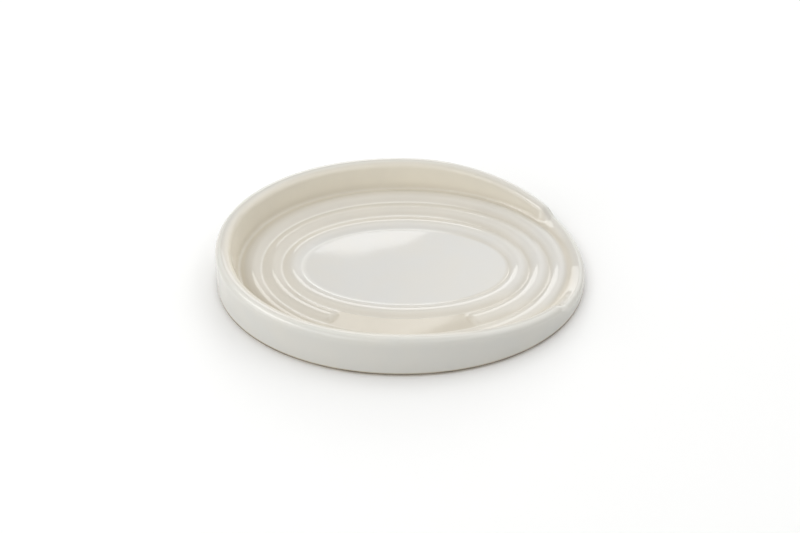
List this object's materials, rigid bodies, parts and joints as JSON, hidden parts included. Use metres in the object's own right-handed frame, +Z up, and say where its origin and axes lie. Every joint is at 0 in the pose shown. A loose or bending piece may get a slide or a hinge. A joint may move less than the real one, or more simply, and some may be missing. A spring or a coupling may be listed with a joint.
{
  "type": "spoon rest",
  "caption": "Low oval glazed stoneware dish with raised rings in its well and a rim that falls to a lip, on which a cooking spoon lies between uses.",
  "frame": {"origin": "centre of the oval on the table, in the plane that the foot stands on", "axes": "+X along the dish towards its lip, +Y across it, +Z up"},
  "size_m": [0.155, 0.125, 0.0179],
  "materials": {
    "stoneware": "fired clay, matt and slightly rough",
    "glaze_inside": "cream gloss glaze, warmer where it pools",
    "glaze_outside": "cream gloss glaze, tan where it thins at the foot",
    "glaze_underside": "cream gloss glaze"
  },
  "bodies": {
    "root": {"stoneware_body": "stoneware", "well_glaze": "glaze_inside", "wall_glaze": "glaze_outside", "underside_glaze": "glaze_underside"}
  },
  "joints": []
}
